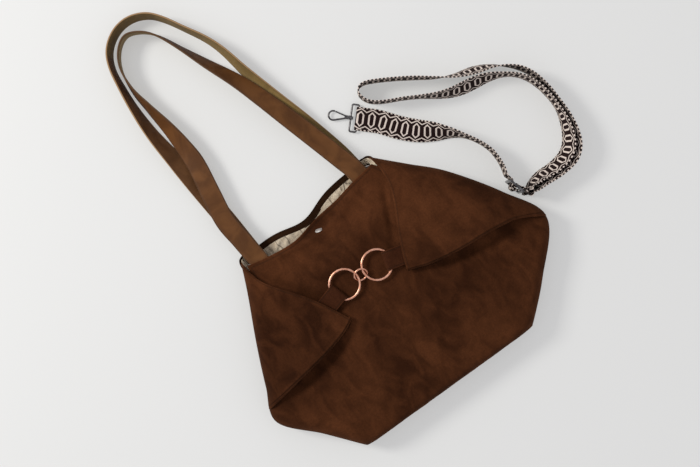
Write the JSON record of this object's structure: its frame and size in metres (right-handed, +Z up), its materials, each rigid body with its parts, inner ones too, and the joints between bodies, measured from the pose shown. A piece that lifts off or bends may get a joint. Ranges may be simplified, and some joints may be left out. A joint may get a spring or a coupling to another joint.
{
  "type": "trapeze tote bag",
  "caption": "Soft suede trapeze tote lying on its back: folded side wings tied by a ring chain, two leather handles, snap mouth, woven shoulder strap beside it.",
  "frame": {"origin": "on the table under the middle of the bag's back panel", "axes": "+Z up from the table through the lying bag, +Y from the base towards the mouth and handles, +X to the side where the shoulder strap lies"},
  "size_m": [0.5332, 0.6238, 0.0499],
  "materials": {
    "suede": "matt suede",
    "lining": "crinkled cloth",
    "handle_leather": "smooth",
    "copper": "polished copper plate",
    "nickel": "satin",
    "gunmetal": "dark plated",
    "webbing": "woven"
  },
  "bodies": {
    "bag": {"back_panel": "suede", "front_panel": "suede", "base_panel": "suede", "back_lining": "lining", "front_lining": "lining", "base_lining": "lining", "back_facing": "suede", "front_facing": "suede", "front_handle_ends": "handle_leather", "back_handle_ends": "handle_leather", "snap_cap": "nickel", "snap_socket": "nickel", "snap_stud": "nickel", "snap_washer": "nickel", "left_dring_loop": "suede", "right_dring_loop": "suede"},
    "left_wing": {"left_wing_outer": "suede", "left_wing_lining": "lining", "left_wing_inner": "suede", "left_tab": "handle_leather"},
    "right_wing": {"right_wing_outer": "suede", "right_wing_lining": "lining", "right_wing_inner": "suede", "right_tab": "handle_leather"},
    "left_chain_ring": {"left_ring": "copper"},
    "right_chain_ring": {"right_ring": "copper"},
    "chain_link": {"link_ring": "copper"},
    "front_strap": {"front_handle": "handle_leather"},
    "back_strap": {"back_handle": "handle_leather"},
    "left_strap_ring": {"left_dring": "nickel"},
    "right_strap_ring": {"right_dring": "nickel"},
    "shoulder_strap": {"strap_webbing": "webbing"},
    "slider": {"slider_buckle": "gunmetal"},
    "square_ring": {"hook_ring": "gunmetal"},
    "snap_hook": {"hook_body": "gunmetal", "gate_pin": "gunmetal"},
    "gate": {"hook_gate": "gunmetal"}
  },
  "joints": [
    {"name": "left_wing_lift", "type": "hinge", "parent": "bag", "child": "left_wing", "pos_m": [-0.0909, 0.138, 0.0405], "axis": [-0.4432, -0.8964, 0], "range_deg": [0, 3]},
    {"name": "right_wing_lift", "type": "hinge", "parent": "bag", "child": "right_wing", "pos_m": [0.0878, 0.1384, 0.0405], "axis": [-0.5331, 0.8461, 0], "range_deg": [0, 3]},
    {"name": "left_ring_tilt", "type": "hinge", "parent": "left_wing", "child": "left_chain_ring", "pos_m": [-0.03808, 0.03974, 0.041], "axis": [0.2211, -0.9753, 0], "range_deg": [-2.5, 0]},
    {"name": "right_ring_tilt", "type": "hinge", "parent": "right_wing", "child": "right_chain_ring", "pos_m": [0.04116, 0.03223, 0.041], "axis": [0.3099, 0.9508, 0], "range_deg": [-2, 0]},
    {"name": "link_rock", "type": "hinge", "parent": "left_chain_ring", "child": "chain_link", "pos_m": [0.00175, 0.0405, 0.04386], "axis": [0.9918, -0.128, 0], "range_deg": [0, 4]},
    {"name": "front_handle_swing", "type": "hinge", "parent": "bag", "child": "front_strap", "pos_m": [0, 0.1412, 0.02245], "axis": [1, 0, 0], "range_deg": [0, 95]},
    {"name": "back_handle_swing", "type": "hinge", "parent": "bag", "child": "back_strap", "pos_m": [0, 0.1543, 0.0039], "axis": [1, 0, 0], "range_deg": [0, 57]},
    {"name": "left_strap_ring_swing", "type": "hinge", "parent": "bag", "child": "left_strap_ring", "pos_m": [-0.096, 0.129, 0.00785], "axis": [1, 0, 0], "range_deg": [0, 35]},
    {"name": "right_strap_ring_swing", "type": "hinge", "parent": "bag", "child": "right_strap_ring", "pos_m": [0.091, 0.131, 0.00785], "axis": [1, 0, 0], "range_deg": [0, 35]},
    {"name": "strap_lift", "type": "slide", "parent": "bag", "child": "shoulder_strap", "axis": [0, 0, 1], "range_m": [0, 0.15]},
    {"name": "slider_rock", "type": "hinge", "parent": "shoulder_strap", "child": "slider", "pos_m": [0.222, 0.004, 0.0188], "axis": [0, 0, 1], "range_deg": [-3, 3]},
    {"name": "square_ring_swing", "type": "hinge", "parent": "shoulder_strap", "child": "square_ring", "pos_m": [0.123, 0.196, 0.0034], "axis": [0.7263, 0.6873, 0], "range_deg": [0, 60]},
    {"name": "hook_swivel", "type": "hinge", "parent": "square_ring", "child": "snap_hook", "pos_m": [0.1152, 0.2043, 0.0034], "axis": [-0.6873, 0.7263, 0], "continuous": true},
    {"name": "gate_swing", "type": "hinge", "parent": "snap_hook", "child": "gate", "pos_m": [0.1134, 0.20811, 0.0034], "axis": [0, 0, 1], "range_deg": [0, 25], "stiffness_Nm_per_rad": 0.002, "springref_deg": -11.46}
  ],
  "couplings": [
    {"joint": "right_wing_lift", "follows": "left_wing_lift", "ratio": 0.943},
    {"joint": "left_ring_tilt", "follows": "left_wing_lift", "ratio": -0.775},
    {"joint": "right_ring_tilt", "follows": "left_wing_lift", "ratio": -0.603},
    {"joint": "back_handle_swing", "follows": "front_handle_swing", "ratio": 0.6}
  ]
}
